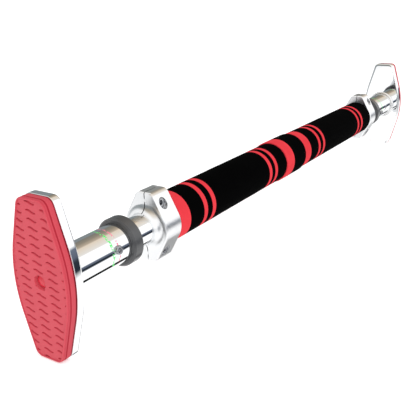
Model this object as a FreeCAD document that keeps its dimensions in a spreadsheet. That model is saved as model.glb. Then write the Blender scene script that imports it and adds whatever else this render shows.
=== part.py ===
import FreeCAD, Part
import Sketcher
import os

# A doorway pull up bar. The grip bar turns on a left-hand screw at one end and a right-hand screw at the
# other, which pushes the two padded end plates apart against the door frame. A split clamp at each end
# of the bar then locks the grip bar to the inner tube.
# The origin is the middle of the whole length, on the bar's axis. +X runs along the bar to the right end,
# -Y is the side of the clamp screws' heads, and +Z is up.

Vector = FreeCAD.Vector
doc = FreeCAD.newDocument("pull_up_bar")

# ---- Driving dimensions, in millimetres and degrees ------------------------------------------------
# Pieces of an end are measured from its pad's outer face, pieces of a clamp from its outer face,
# and pieces of the grip bar from the grip bar's middle.

DIMENSIONS = (
    ("total_length", 846.7),
    ("bar_shift", 7.2),
    ("fit_gap", 0.05),
    ("joint_gap", 0.3),
    # end plate: rubber pad in a pressed steel tray
    ("pad_half_height", 71.2),
    ("pad_half_top", 14.6),
    ("pad_half_middle", 34.7),
    ("pad_corner_radius", 8),
    ("pad_side_radius", 120),
    ("pad_proud", 10.1),
    ("pad_edge_radius", 1.2),
    ("tray_half_height", 71.8),
    ("tray_half_top", 15.2),
    ("tray_half_middle", 36.4),
    ("tray_depth", 8.9),
    ("tray_wall", 1.6),
    ("tray_floor", 2),
    ("tray_back_radius", 1.8),
    ("wall_across_side", 1.04),
    ("wall_across_top", 0.8),
    ("plug_head_radius", 5.4),
    ("plug_head_depth", 3),
    ("plug_sink", 3),
    ("plug_stem_radius", 3),
    ("plug_barb_radius", 4.2),
    ("plug_barb_length", 4),
    # telescopic end: sleeve tube, collar, inner tube and screw spindle
    ("sleeve_radius", 19),
    ("tube_wall", 1.5),
    ("sleeve_length", 79),
    ("weld_leg", 3.2),
    ("collar_start", 92.5),
    ("collar_length", 12),
    ("collar_radius", 23.4),
    ("collar_lip", 6.4),
    ("collar_bevel", 0.9),
    ("inner_radius", 14),
    ("inner_start", 40),
    ("inner_end", 215),
    ("slot_start", 110),
    ("slot_end", 190),
    ("slot_width", 5.2),
    ("bush_start", 62),
    ("bush_length", 26),
    ("sleeve_screw_place", 75),
    ("sleeve_screw_tilt", 12),
    ("sleeve_screw_radius", 2.95),
    ("sleeve_screw_head_radius", 4.2),
    ("sleeve_screw_head_height", 3),
    ("sleeve_screw_socket", 2),
    ("spindle_plug_length", 20),
    ("spindle_radius", 8),
    ("spindle_end", 330),
    # split clamp
    ("clamp_place", 293),
    ("clamp_thickness", 24),
    ("clamp_half_height", 35.5),
    ("clamp_half_top", 9.5),
    ("clamp_half_middle", 29),
    ("clamp_corner_radius", 7),
    ("clamp_side_radius", 24),
    ("clamp_split", 1),
    ("clamp_bevel", 1.2),
    ("neck_wall", 1),
    ("neck_flare", 9),
    ("groove_start", 14.9),
    ("groove_radius", 20.4),
    ("flange_radius", 20.1),
    ("flange_length", 2.3),
    ("rib_low", 25.5),
    ("rib_height", 3.5),
    ("rib_depth", 5),
    ("clamp_screw_place", 9),
    ("clamp_screw_height", 24.5),
    ("clamp_screw_radius", 3),
    ("clamp_screw_seat", 7),
    ("clamp_screw_reach", 14),
    ("clamp_head_radius", 5),
    ("clamp_head_height", 6),
    ("clamp_socket_radius", 2.9),
    ("clamp_socket_depth", 3),
    ("clamp_nut_radius", 5.774),
    ("clamp_nut_height", 5),
    ("key_start", 3),
    ("key_length", 8),
    ("key_width", 5),
    ("key_top", 17.5),
    ("key_bottom", 12.3),
    # grip bar
    ("bar_half_length", 275.5),
    ("guide_length", 27.5),
    ("nut_start", 150),
    ("nut_length", 25),
    ("nut_pin_radius", 2.5),
    ("nut_pin_low", 12),
    ("nut_pin_top", 18.6),
    ("grip_radius", 25),
    ("grip_half_length", 268.6),
    ("end_ring_inner", 251.5),
    ("band_radius", 26.3),
    ("band_half_length", 17),
    ("centre_ring_outer", 37.4),
    ("shoulder_radius", 1.2),
    ("stripe_width", 6.6),
    ("stripe_depth", 1.2),
    ("left_outer_stripe_far", 224.1),
    ("left_outer_stripe_near", 208.2),
    ("left_inner_stripe_far", 80.2),
    ("left_inner_stripe_near", 65.6),
    ("right_inner_stripe_near", 64.8),
    ("right_inner_stripe_far", 80.3),
    ("right_outer_stripe_near", 215.2),
    ("right_outer_stripe_far", 230.6),
)

sizes = doc.addObject("Spreadsheet::Sheet", "sizes")
for row, (alias, value) in enumerate(DIMENSIONS, start=1):
    sizes.set("A%d" % row, alias)
    sizes.set("B%d" % row, str(value))
    sizes.setAlias("B%d" % row, alias)
doc.recompute()

# ---- Sketches and turned bodies --------------------------------------------------------------------


def bind(item, **expressions):
    """Bind each named property of the item to an expression on the sheet."""
    for name, expression in expressions.items():
        item.setExpression(name.replace("__", "."), expression)


def value_of(expression):
    """What an expression on the sheet comes to."""
    return float(sizes.evalExpression(expression))


def sketch_on(body, name, role):
    """A new sketch on one of the body's own origin planes."""
    sketch = body.newObject("Sketcher::SketchObject", name)
    support = next(item for item in body.Origin.OriginFeatures if item.Role == role)
    sketch.AttachmentSupport = [(support, "")]
    sketch.MapMode = "FlatFace"
    return sketch


def hold(sketch, corner, direction, expression):
    """Hold one coordinate of a corner at an expression, or on the axis where the expression is 0."""
    distance = value_of(expression)
    if distance == 0:
        axis = -1 if direction == "DistanceY" else -2
        sketch.addConstraint(Sketcher.Constraint("PointOnObject", corner, 1, axis))
        return
    if distance < 0:
        rule = Sketcher.Constraint(direction, corner, 1, -1, 1, -distance)
        expression = "-(%s)" % expression
    else:
        rule = Sketcher.Constraint(direction, -1, 1, corner, 1, distance)
    name = "%s_%d" % (direction.lower(), corner)
    sketch.renameConstraint(sketch.addConstraint(rule), name)
    sketch.setExpression("Constraints." + name, expression)


def outline(sketch, corners):
    """Draw a closed outline of straight lines through corners, each a pair of expressions."""
    points = [Vector(value_of(across), value_of(up), 0) for across, up in corners]
    for corner, point in enumerate(points):
        following = points[(corner + 1) % len(points)]
        sketch.addGeometry(Part.LineSegment(point, following), False)
    for corner in range(len(points)):
        after = (corner + 1) % len(points)
        sketch.addConstraint(Sketcher.Constraint("Coincident", corner, 2, after, 1))
    for corner, (across, up) in enumerate(corners):
        hold(sketch, corner, "DistanceX", across)
        hold(sketch, corner, "DistanceY", up)


def turned(name, section):
    """A body turned about X from the corners of its half section, each an (x, radius) pair."""
    body = doc.addObject("PartDesign::Body", name)
    sketch = sketch_on(body, name + "_section", "XZ_Plane")
    outline(sketch, section)
    turn = body.newObject("PartDesign::Revolution", name + "_turn")
    turn.Profile = sketch
    turn.ReferenceAxis = (sketch, ["H_Axis"])
    turn.Angle = 360
    return body


def ring_section(start, end, inner, outer):
    """The half section of a plain ring."""
    return ((start, inner), (start, outer), (end, outer), (end, inner))


def hexagon(body, name, place, height, top, middle):
    """Sketch an upright hexagon across the bar, from its half height and its two half widths."""
    sketch = sketch_on(body, name, "YZ_Plane")
    sketch.setExpression("AttachmentOffset.Base.z", place)
    outline(sketch, (
        (top, height), ("-(%s)" % top, height), ("-(%s)" % middle, "0"),
        ("-(%s)" % top, "-(%s)" % height), (top, "-(%s)" % height), (middle, "0"),
    ))
    return sketch


def extrude(body, kind, name, sketch, length):
    """Pad or pocket a sketch by a length on the sheet."""
    feature = body.newObject("PartDesign::" + kind, name)
    feature.Profile = sketch
    bind(feature, Length=length)
    return feature


def dress(body, kind, name, size, chosen):
    """Fillet or chamfer the edges of the body's last feature that the chosen function accepts."""
    doc.recompute()
    base = body.Tip
    edges = ["Edge%d" % number for number, edge in enumerate(base.Shape.Edges, start=1) if chosen(edge)]
    feature = body.newObject("PartDesign::" + kind, name)
    feature.Base = (base, edges)
    bind(feature, **{"Radius" if kind == "Fillet" else "Size": size})
    return feature


def runs_along_bar(edge):
    """Whether an edge is parallel to X."""
    first, last = edge.Vertexes[0].Point, edge.Vertexes[-1].Point
    return abs(first.y - last.y) < 0.01 and abs(first.z - last.z) < 0.01 and abs(first.x - last.x) > 0.01


def corner_at(height):
    """A chooser of the edges along the bar that stand this high or this low."""
    return lambda edge: runs_along_bar(edge) and abs(abs(edge.Vertexes[0].Z) - value_of(height)) < 0.01


def side_at(width):
    """A chooser of the edges along the bar this far in front or behind, at mid height."""
    return lambda edge: (runs_along_bar(edge) and abs(edge.Vertexes[0].Z) < 0.01
                         and abs(abs(edge.Vertexes[0].Y) - value_of(width)) < 0.01)


def rim_at(place):
    """A chooser of the edges of the outline at this place along the bar."""
    return lambda edge: all(abs(corner.X - value_of(place)) < 0.01 for corner in edge.Vertexes)


# ---- Primitives and booleans -----------------------------------------------------------------------

ALONG_BAR = FreeCAD.Rotation(Vector(0, 1, 0), 90)
TO_FRONT = FreeCAD.Rotation(Vector(1, 0, 0), 90)


def solid(kind, name, turn, place, **measures):
    """A Part primitive, turned, with its base point and its measures bound to the sheet."""
    item = doc.addObject("Part::" + kind, name)
    item.Placement = FreeCAD.Placement(Vector(), turn)
    for direction, expression in zip("xyz", place):
        item.setExpression("Placement.Base." + direction, expression)
    bind(item, **measures)
    return item


def hexagonal(name, turn, place, radius, height):
    """A hexagonal prism across its corners' circle, for sockets and nuts."""
    prism = solid("Prism", name, turn, place, Circumradius=radius, Height=height)
    prism.Polygon = 6
    return prism


def joined(name, items):
    """The union of several solids."""
    union = doc.addObject("Part::MultiFuse", name)
    union.Shapes = items
    return union


def taken_from(name, base, tools):
    """The base with every tool cut away."""
    result = doc.addObject("Part::Cut", name)
    result.Base = base
    result.Tool = tools[0] if len(tools) == 1 else joined(name + "_tools", tools)
    return result


# ---- Sub-parts and their places --------------------------------------------------------------------

NODES = []
TURNED_END_FOR_END = FreeCAD.Rotation(Vector(0, 1, 0), 180)
SIDES = (("left", "-"), ("right", "+"))


def add_node(item, label, place, side="left"):
    """Name a finished sub-part and set it at its place; the right end's are turned end for end."""
    item.Label = label
    if side == "right":
        item.Placement = FreeCAD.Placement(Vector(), TURNED_END_FOR_END)
    item.setExpression("Placement.Base.x", place)
    NODES.append(item)


def pad_of(name):
    """Rubber pad: a hexagonal block that stands proud of its tray, with a hole for its plug."""
    body = doc.addObject("PartDesign::Body", name + "_block")
    face = hexagon(body, name + "_face", "0", "sizes.pad_half_height", "sizes.pad_half_top",
                   "sizes.pad_half_middle")
    extrude(body, "Pad", name + "_proud", face, "sizes.pad_proud")
    inset = "(sizes.tray_wall + sizes.fit_gap * 4)"
    foot = hexagon(body, name + "_foot", "sizes.pad_proud", "sizes.tray_half_height - %s" % inset,
                   "sizes.tray_half_top - sizes.tray_wall",
                   "sizes.tray_half_middle - %s * sizes.wall_across_side ^ 2" % inset)
    extrude(body, "Pad", name + "_seated", foot, "sizes.tray_depth - sizes.tray_floor")
    dress(body, "Fillet", name + "_corners", "sizes.pad_corner_radius",
          lambda edge: runs_along_bar(edge) and abs(edge.Vertexes[0].Z) > 0.01)
    dress(body, "Fillet", name + "_sides", "sizes.pad_side_radius",
          lambda edge: runs_along_bar(edge) and abs(edge.Vertexes[0].Z) < 0.01)
    dress(body, "Fillet", name + "_rim", "sizes.pad_edge_radius", rim_at("0"))
    origin = ("0", "0", "0")
    recess = solid("Cylinder", name + "_recess", ALONG_BAR, origin,
                   Radius="sizes.plug_head_radius + sizes.fit_gap * 2",
                   Height="sizes.plug_sink + sizes.plug_head_depth")
    hole = solid("Cylinder", name + "_hole", ALONG_BAR, origin,
                 Radius="sizes.plug_stem_radius + sizes.fit_gap * 2",
                 Height="sizes.pad_proud + sizes.tray_depth")
    return taken_from(name, body, [recess, hole])


def plug_of(name):
    """Push-in plug that holds the pad in the tray, with a barb behind the tray's floor."""
    head_end = "sizes.plug_sink + sizes.plug_head_depth"
    back = "sizes.pad_proud + sizes.tray_depth"
    return turned(name, (
        ("sizes.plug_sink", "0"), ("sizes.plug_sink", "sizes.plug_head_radius"),
        (head_end, "sizes.plug_head_radius"), (head_end, "sizes.plug_stem_radius"),
        (back, "sizes.plug_stem_radius"), (back, "sizes.plug_barb_radius"),
        (back + " + sizes.plug_barb_length", "sizes.plug_stem_radius / 2"),
        (back + " + sizes.plug_barb_length", "0"),
    ))


def tray_of(name):
    """Pressed steel tray: open towards the door frame, with a flat floor towards the bar."""
    body = doc.addObject("PartDesign::Body", name + "_shell")
    outside = hexagon(body, name + "_outside", "sizes.pad_proud", "sizes.tray_half_height",
                      "sizes.tray_half_top", "sizes.tray_half_middle")
    extrude(body, "Pad", name + "_block", outside, "sizes.tray_depth")
    inner_height = "sizes.tray_half_height - sizes.tray_wall"
    inner_middle = "sizes.tray_half_middle - sizes.tray_wall * sizes.wall_across_side"
    inside = hexagon(body, name + "_inside", "sizes.pad_proud", inner_height,
                     "sizes.tray_half_top - sizes.tray_wall * sizes.wall_across_top", inner_middle)
    opening = extrude(body, "Pocket", name + "_opening", inside, "sizes.tray_depth - sizes.tray_floor")
    opening.Reversed = True
    outer_radius = "sizes.pad_corner_radius"
    inner_radius = "sizes.pad_corner_radius - sizes.tray_wall"
    dress(body, "Fillet", name + "_outer_corners", outer_radius, corner_at("sizes.tray_half_height"))
    dress(body, "Fillet", name + "_inner_corners", inner_radius, corner_at(inner_height))
    dress(body, "Fillet", name + "_outer_sides", "sizes.pad_side_radius", side_at("sizes.tray_half_middle"))
    dress(body, "Fillet", name + "_inner_sides", "sizes.pad_side_radius - sizes.tray_wall",
          side_at(inner_middle))
    dress(body, "Fillet", name + "_back_edge", "sizes.tray_back_radius",
          rim_at("sizes.pad_proud + sizes.tray_depth"))
    hole = solid("Cylinder", name + "_hole", ALONG_BAR, ("sizes.pad_proud", "0", "0"),
                 Radius="sizes.plug_stem_radius + sizes.fit_gap * 2", Height="sizes.tray_depth + 1")
    return taken_from(name, body, [hole])


SLEEVE_START = "sizes.pad_proud + sizes.tray_depth"
SLEEVE_END = SLEEVE_START + " + sizes.sleeve_length"
SLEEVE_BORE = "sizes.sleeve_radius - sizes.tube_wall"
INNER_BORE = "sizes.inner_radius - sizes.tube_wall"


def sleeve_screw_tool(name, low, height, radius):
    """A cylinder on the sleeve screw's tilted axis, from a radius outwards."""
    tool = solid("Cylinder", name, TO_FRONT, (
        "sizes.sleeve_screw_place",
        "-(%s) * cos(sizes.sleeve_screw_tilt)" % low,
        "(%s) * sin(sizes.sleeve_screw_tilt)" % low,
    ), Radius=radius, Height=height)
    tool.setExpression("Placement.Rotation.Angle", "90 - sizes.sleeve_screw_tilt")
    return tool


def screw_hole_in(name, body):
    """The body with the sleeve screw's clearance hole through its front wall."""
    hole = sleeve_screw_tool(name + "_screw_hole", "sizes.inner_radius / 2", "sizes.sleeve_radius",
                             "sizes.sleeve_screw_radius + sizes.fit_gap * 2")
    return taken_from(name, body, [hole])


def weld_of(name):
    """Weld bead around the foot of the sleeve tube, where it stands on the tray."""
    foot = "sizes.sleeve_radius"
    return turned(name, (
        (SLEEVE_START, foot), (SLEEVE_START, foot + " + sizes.weld_leg"),
        (SLEEVE_START + " + sizes.weld_leg * 0.45", foot + " + sizes.weld_leg * 0.75"),
        (SLEEVE_START + " + sizes.weld_leg * 0.75", foot + " + sizes.weld_leg * 0.45"),
        (SLEEVE_START + " + sizes.weld_leg", foot),
    ))


def sleeve_of(name):
    """Sleeve tube, welded to the tray, that the inner tube stands in."""
    tube = turned(name + "_tube", ring_section(SLEEVE_START, SLEEVE_END, SLEEVE_BORE,
                                               "sizes.sleeve_radius"))
    return screw_hole_in(name, tube)


def collar_of(name):
    """Plastic collar on the sleeve tube's mouth, with a lip down to the inner tube."""
    end = "sizes.collar_start + sizes.collar_length"
    lip = end + " - sizes.collar_lip"
    return turned(name, (
        ("sizes.collar_start + sizes.collar_bevel", "sizes.sleeve_radius + sizes.fit_gap"),
        ("sizes.collar_start", "sizes.collar_radius - sizes.collar_bevel"),
        ("sizes.collar_start + sizes.collar_bevel", "sizes.collar_radius"),
        (end + " - sizes.collar_bevel", "sizes.collar_radius"),
        (end, "sizes.collar_radius - sizes.collar_bevel"),
        (end, "sizes.inner_radius + sizes.fit_gap"),
        (lip, "sizes.inner_radius + sizes.fit_gap"),
        (lip, "sizes.sleeve_radius + sizes.fit_gap"),
    ))


def bush_of(name):
    """Spacer bush between the sleeve tube and the inner tube, pierced by the sleeve screw."""
    ring = turned(name + "_ring", ring_section(
        "sizes.bush_start", "sizes.bush_start + sizes.bush_length",
        "sizes.inner_radius + sizes.fit_gap", SLEEVE_BORE + " - sizes.fit_gap"))
    return screw_hole_in(name, ring)


def sleeve_screw_of(name):
    """Button-head screw that fixes the inner tube in the sleeve tube."""
    shank = sleeve_screw_tool(name + "_shank", INNER_BORE, "sizes.sleeve_radius - (%s)" % INNER_BORE,
                              "sizes.sleeve_screw_radius")
    head = sleeve_screw_tool(name + "_head", "sizes.sleeve_radius", "sizes.sleeve_screw_head_height",
                             "sizes.sleeve_screw_head_radius")
    top = "sizes.sleeve_radius + sizes.sleeve_screw_head_height"
    socket_depth = "sizes.sleeve_screw_socket"
    socket = hexagonal(name + "_socket", TO_FRONT, (
        "sizes.sleeve_screw_place",
        "-(%s - %s) * cos(sizes.sleeve_screw_tilt)" % (top, socket_depth),
        "(%s - %s) * sin(sizes.sleeve_screw_tilt)" % (top, socket_depth),
    ), "sizes.sleeve_screw_head_radius / 2", socket_depth)
    socket.setExpression("Placement.Rotation.Angle", "90 - sizes.sleeve_screw_tilt")
    return taken_from(name, joined(name + "_blank", [shank, head]), [socket])


def inner_tube_of(name):
    """Inner tube: carries the clamp, with a key slot along its back."""
    body = turned(name + "_tube", ring_section("sizes.inner_start", "sizes.inner_end", INNER_BORE,
                                               "sizes.inner_radius"))
    half_width = "sizes.slot_width / 2"
    sketch = sketch_on(body, name + "_slot_outline", "XZ_Plane")
    outline(sketch, (
        ("sizes.slot_start", "-(%s)" % half_width), ("sizes.slot_end", "-(%s)" % half_width),
        ("sizes.slot_end", half_width), ("sizes.slot_start", half_width),
    ))
    whole = body.Tip
    slot = extrude(body, "Pocket", name + "_slot", sketch, "sizes.inner_radius + 1")
    doc.recompute()
    assert slot.Shape.Volume < whole.Shape.Volume - 1
    dress(body, "Fillet", name + "_slot_ends", half_width + " - 0.01",
          lambda edge: (edge.Vertexes[0].Y > value_of(INNER_BORE) / 2
                        and all(abs(abs(corner.Z) - value_of(half_width)) < 0.01 for corner in edge.Vertexes)
                        and abs(edge.Vertexes[0].X - edge.Vertexes[-1].X) < 0.01
                        and len(edge.Vertexes) == 2 and abs(edge.Vertexes[0].Z - edge.Vertexes[-1].Z) < 0.01))
    return screw_hole_in(name, body)


def spindle_plug_of(name):
    """Steel plug pressed into the inner tube's end, which holds the spindle."""
    return turned(name, ring_section("sizes.inner_end - sizes.spindle_plug_length", "sizes.inner_end",
                                     "sizes.spindle_radius + sizes.fit_gap / 2",
                                     INNER_BORE + " - sizes.fit_gap / 2"))


def spindle_of(name):
    """Screw spindle, drawn at its mean diameter, with a bevelled free end."""
    start = "sizes.inner_end - sizes.spindle_plug_length"
    return turned(name, (
        (start, "0"), (start, "sizes.spindle_radius"),
        ("sizes.spindle_end - sizes.joint_gap * 5", "sizes.spindle_radius"),
        ("sizes.spindle_end", "sizes.spindle_radius - sizes.joint_gap * 5"), ("sizes.spindle_end", "0"),
    ))


END_PIECES = (
    ("pad", pad_of), ("pad_plug", plug_of), ("tray", tray_of), ("weld_bead", weld_of),
    ("sleeve_tube", sleeve_of), ("collar", collar_of), ("spacer_bush", bush_of),
    ("sleeve_screw", sleeve_screw_of), ("inner_tube", inner_tube_of),
    ("spindle_plug", spindle_plug_of), ("spindle", spindle_of),
)

for side, sign in SIDES:
    for piece, make in END_PIECES:
        node_name = "%s_%s" % (side, piece)
        add_node(make(node_name), node_name, "%s(sizes.total_length / 2)" % sign, side)

# ---- Split clamps ----------------------------------------------------------------------------------

GROOVE_END = "sizes.groove_start + sizes.flange_length + sizes.joint_gap * 2"
CLAMP_SCREW_HOLE = "sizes.clamp_screw_radius + sizes.fit_gap * 4"
SMALL_BORE = "sizes.inner_radius + sizes.fit_gap"
NECK_RADIUS = SMALL_BORE + " + sizes.neck_wall + sizes.neck_flare"


def neck_of(name, front):
    """Half of the neck round the inner tube, which flares out to the clamp's face in a hollow curve."""
    def around(kind, tag, place, **measures):
        return solid(kind, name + tag, ALONG_BAR, (place, "0", "0"), **measures)

    disc = around("Cylinder", "_disc", "-sizes.neck_flare", Radius=NECK_RADIUS,
                  Height="sizes.neck_flare + sizes.clamp_bevel")
    hollow = around("Torus", "_hollow", "-sizes.neck_flare", Radius1=NECK_RADIUS, Radius2="sizes.neck_flare")
    bore = around("Cylinder", "_bore", "-sizes.neck_flare - 1", Radius=SMALL_BORE,
                  Height="sizes.neck_flare + sizes.clamp_bevel + 2")
    way = "-sizes.clamp_split / 2" if front else "sizes.clamp_split / 2 - 2 * (%s)" % NECK_RADIUS
    other_half = solid("Box", name + "_other_half", FreeCAD.Rotation(), (
        "-sizes.neck_flare - 1", way, "-(%s)" % NECK_RADIUS,
    ), Length="sizes.neck_flare + sizes.clamp_bevel + 2", Width="2 * (%s)" % NECK_RADIUS,
        Height="2 * (%s)" % NECK_RADIUS)
    return taken_from(name, disc, [hollow, bore, other_half])


def jaw_body(name, front):
    """Half of the hexagonal clamp, bored for both tubes and grooved for the grip bar's flange."""
    way = "-1" if front else "1"
    half_split = "%s * sizes.clamp_split / 2" % way
    half_top = "%s * sizes.clamp_half_top" % way
    body = doc.addObject("PartDesign::Body", name + "_block")
    sketch = sketch_on(body, name + "_outline", "YZ_Plane")
    outline(sketch, (
        (half_split, "sizes.clamp_half_height"), (half_top, "sizes.clamp_half_height"),
        ("%s * sizes.clamp_half_middle" % way, "0"), (half_top, "-sizes.clamp_half_height"),
        (half_split, "-sizes.clamp_half_height"),
    ))
    extrude(body, "Pad", name + "_thickness", sketch, "sizes.clamp_thickness")
    on_split = lambda edge: all(abs(corner.Y - value_of(half_split)) < 0.01 for corner in edge.Vertexes)
    dress(body, "Fillet", name + "_corners", "sizes.clamp_corner_radius",
          lambda edge: corner_at("sizes.clamp_half_height")(edge) and not on_split(edge))
    dress(body, "Fillet", name + "_side", "sizes.clamp_side_radius", side_at("sizes.clamp_half_middle"))
    dress(body, "Chamfer", name + "_bevel", "sizes.clamp_bevel",
          lambda edge: (rim_at("0")(edge) or rim_at("sizes.clamp_thickness")(edge)) and not on_split(edge))
    core = sketch_on(body, name + "_core", "XZ_Plane")
    large_bore = "sizes.sleeve_radius + sizes.fit_gap"
    outline(core, (
        ("-1", "0"), ("-1", SMALL_BORE), ("sizes.groove_start", SMALL_BORE),
        ("sizes.groove_start", "sizes.groove_radius"), (GROOVE_END, "sizes.groove_radius"),
        (GROOVE_END, large_bore), ("sizes.clamp_thickness + 1", large_bore),
        ("sizes.clamp_thickness + 1", "0"),
    ))
    bore = body.newObject("PartDesign::Groove", name + "_bore")
    bore.Profile = core
    bore.ReferenceAxis = (core, ["H_Axis"])
    bore.Angle = 360
    return joined(name + "_necked", [body, neck_of(name + "_neck", front)])


def across_clamp(name, height, depth, length, radius):
    """A cylinder across the clamp on a screw's axis, from depth Y towards the front."""
    return solid("Cylinder", name, TO_FRONT, ("sizes.clamp_screw_place", depth, height),
                 Radius=radius, Height=length)


def round_ended(name, depth, rise):
    """A bar with round ends along the clamp, from depth Y backwards: the key's shape."""
    half_width = "sizes.key_width / 2"
    pieces = [solid("Box", name + "_middle", FreeCAD.Rotation(), (
        "sizes.key_start + %s" % half_width, depth, "-(%s)" % half_width,
    ), Length="sizes.key_length - sizes.key_width", Width=rise, Height="sizes.key_width")]
    for end in ("sizes.key_start + %s" % half_width,
                "sizes.key_start + sizes.key_length - %s" % half_width):
        pieces.append(solid("Cylinder", "%s_end_%d" % (name, len(pieces)),
                            FreeCAD.Rotation(Vector(1, 0, 0), -90), (end, depth, "0"),
                            Radius=half_width, Height=rise))
    return joined(name, pieces)


def front_jaw_of(name):
    """Front jaw: counterbored for the two screw heads."""
    tools = []
    for height in ("sizes.clamp_screw_height", "-sizes.clamp_screw_height"):
        tag = "%s_hole_%d" % (name, len(tools))
        tools.append(across_clamp(tag, height, "0", "sizes.clamp_screw_seat + 1", CLAMP_SCREW_HOLE))
        tools.append(across_clamp(tag + "_head", height, "-sizes.clamp_screw_seat",
                                  "sizes.clamp_half_middle", "sizes.clamp_head_radius + 0.4"))
    return taken_from(name, jaw_body(name, True), tools)


def rear_jaw_of(name):
    """Rear jaw: pockets for two nuts, a keyway, and two ribs that close part of the split."""
    tools = []
    ribs = []
    for height, low in (("sizes.clamp_screw_height", "sizes.rib_low"),
                        ("-sizes.clamp_screw_height", "-sizes.rib_low - sizes.rib_height")):
        tag = "%s_hole_%d" % (name, len(tools))
        tools.append(across_clamp(tag, height, "sizes.clamp_half_middle", "sizes.clamp_half_middle",
                                  CLAMP_SCREW_HOLE))
        tools.append(hexagonal(tag + "_nut", TO_FRONT, (
            "sizes.clamp_screw_place", "sizes.clamp_half_middle", height,
        ), "sizes.clamp_nut_radius + 0.12", "sizes.clamp_half_middle - sizes.clamp_screw_seat"))
        ribs.append(solid("Box", tag + "_rib", FreeCAD.Rotation(), (
            "0", "-sizes.clamp_split / 2 + sizes.fit_gap * 2", low,
        ), Length="sizes.rib_depth", Width="sizes.clamp_split + 1", Height="sizes.rib_height"))
    tools.append(round_ended(name + "_keyway", "0", "sizes.key_top"))
    return taken_from(name, joined(name + "_ribbed", [jaw_body(name, False)] + ribs), tools)


def key_of(name):
    """Feather key in the rear jaw, which slides in the inner tube's slot."""
    return round_ended(name, "sizes.key_bottom", "sizes.key_top - sizes.key_bottom")


def clamp_screw_of(name, height):
    """Socket-head screw across the clamp, its head seated in the front jaw."""
    shank = across_clamp(name + "_shank", height, "sizes.clamp_screw_reach",
                         "sizes.clamp_screw_reach + sizes.clamp_screw_seat", "sizes.clamp_screw_radius")
    head = across_clamp(name + "_head", height, "-sizes.clamp_screw_seat", "sizes.clamp_head_height",
                        "sizes.clamp_head_radius")
    socket = hexagonal(name + "_socket", TO_FRONT, (
        "sizes.clamp_screw_place",
        "-sizes.clamp_screw_seat - sizes.clamp_head_height + sizes.clamp_socket_depth", height,
    ), "sizes.clamp_socket_radius", "sizes.clamp_socket_depth")
    return taken_from(name, joined(name + "_blank", [shank, head]), [socket])


def clamp_nuts_of(name):
    """The two nuts caught in the rear jaw, one solid each."""
    nuts = []
    for height in ("sizes.clamp_screw_height", "-sizes.clamp_screw_height"):
        tag = "%s_%d" % (name, len(nuts))
        place = ("sizes.clamp_screw_place", "sizes.clamp_screw_seat + sizes.clamp_nut_height", height)
        blank = hexagonal(tag + "_blank", TO_FRONT, place, "sizes.clamp_nut_radius",
                          "sizes.clamp_nut_height")
        hole = solid("Cylinder", tag + "_thread", TO_FRONT, place,
                     Radius="sizes.clamp_screw_radius + sizes.fit_gap", Height="sizes.clamp_nut_height")
        nuts.append(taken_from(tag, blank, [hole]))
    pair = doc.addObject("Part::Compound", name)
    pair.Links = nuts
    return pair


for side, sign in SIDES:
    clamp_face = "sizes.bar_shift %s sizes.clamp_place" % sign
    upper, lower = ("", "-") if side == "left" else ("-", "")
    clamp_pieces = (
        ("front_jaw", front_jaw_of), ("rear_jaw", rear_jaw_of), ("key", key_of),
        ("clamp_nuts", clamp_nuts_of),
        ("upper_clamp_screw", lambda name: clamp_screw_of(name, upper + "sizes.clamp_screw_height")),
        ("lower_clamp_screw", lambda name: clamp_screw_of(name, lower + "sizes.clamp_screw_height")),
    )
    for piece, make in clamp_pieces:
        node_name = "%s_%s" % (side, piece)
        add_node(make(node_name), node_name, clamp_face, side)

# ---- Grip bar --------------------------------------------------------------------------------------

NUT_MIDDLE = "sizes.nut_start + sizes.nut_length / 2"


def nut_pin_tools(name, places, low, length, radius):
    """Cylinders across the bar at each place, one upwards and one downwards."""
    tools = []
    for place in places:
        for turn, start in ((0, low), (180, "-(%s)" % low)):
            tools.append(solid("Cylinder", "%s_%d" % (name, len(tools)),
                               FreeCAD.Rotation(Vector(1, 0, 0), turn), (place, "0", start),
                               Radius=radius, Height=length))
    return tools


def main_tube_of(name):
    """Main tube of the grip bar, drilled for the pins that hold the two screw nuts."""
    tube = turned(name + "_blank", ring_section("-sizes.bar_half_length", "sizes.bar_half_length",
                                                SLEEVE_BORE, "sizes.sleeve_radius"))
    holes = nut_pin_tools(name + "_pin_hole", (NUT_MIDDLE, "-(%s)" % NUT_MIDDLE), "sizes.nut_pin_low",
                          "sizes.sleeve_radius", "sizes.nut_pin_radius + sizes.fit_gap")
    return taken_from(name, tube, holes)


def drive_nut_of(name, sign):
    """Screw nut in the main tube, which draws the spindle in or out as the bar turns."""
    blank = turned(name + "_blank", ring_section(
        "%ssizes.nut_start" % sign, "%s(sizes.nut_start + sizes.nut_length)" % sign,
        "sizes.spindle_radius + sizes.fit_gap", SLEEVE_BORE + " - sizes.fit_gap"))
    holes = nut_pin_tools(name + "_pin_hole", ("%s(%s)" % (sign, NUT_MIDDLE),),
                          "sizes.nut_pin_low - sizes.fit_gap", "sizes.sleeve_radius",
                          "sizes.nut_pin_radius + sizes.fit_gap")
    return taken_from(name, blank, holes)


def nut_pins_of(name, sign):
    """The two pins that lock a screw nut in the main tube, one solid each."""
    pair = doc.addObject("Part::Compound", name)
    pair.Links = nut_pin_tools(name + "_pin", ("%s(%s)" % (sign, NUT_MIDDLE),), "sizes.nut_pin_low",
                               "sizes.nut_pin_top - sizes.nut_pin_low", "sizes.nut_pin_radius")
    return pair


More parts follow.
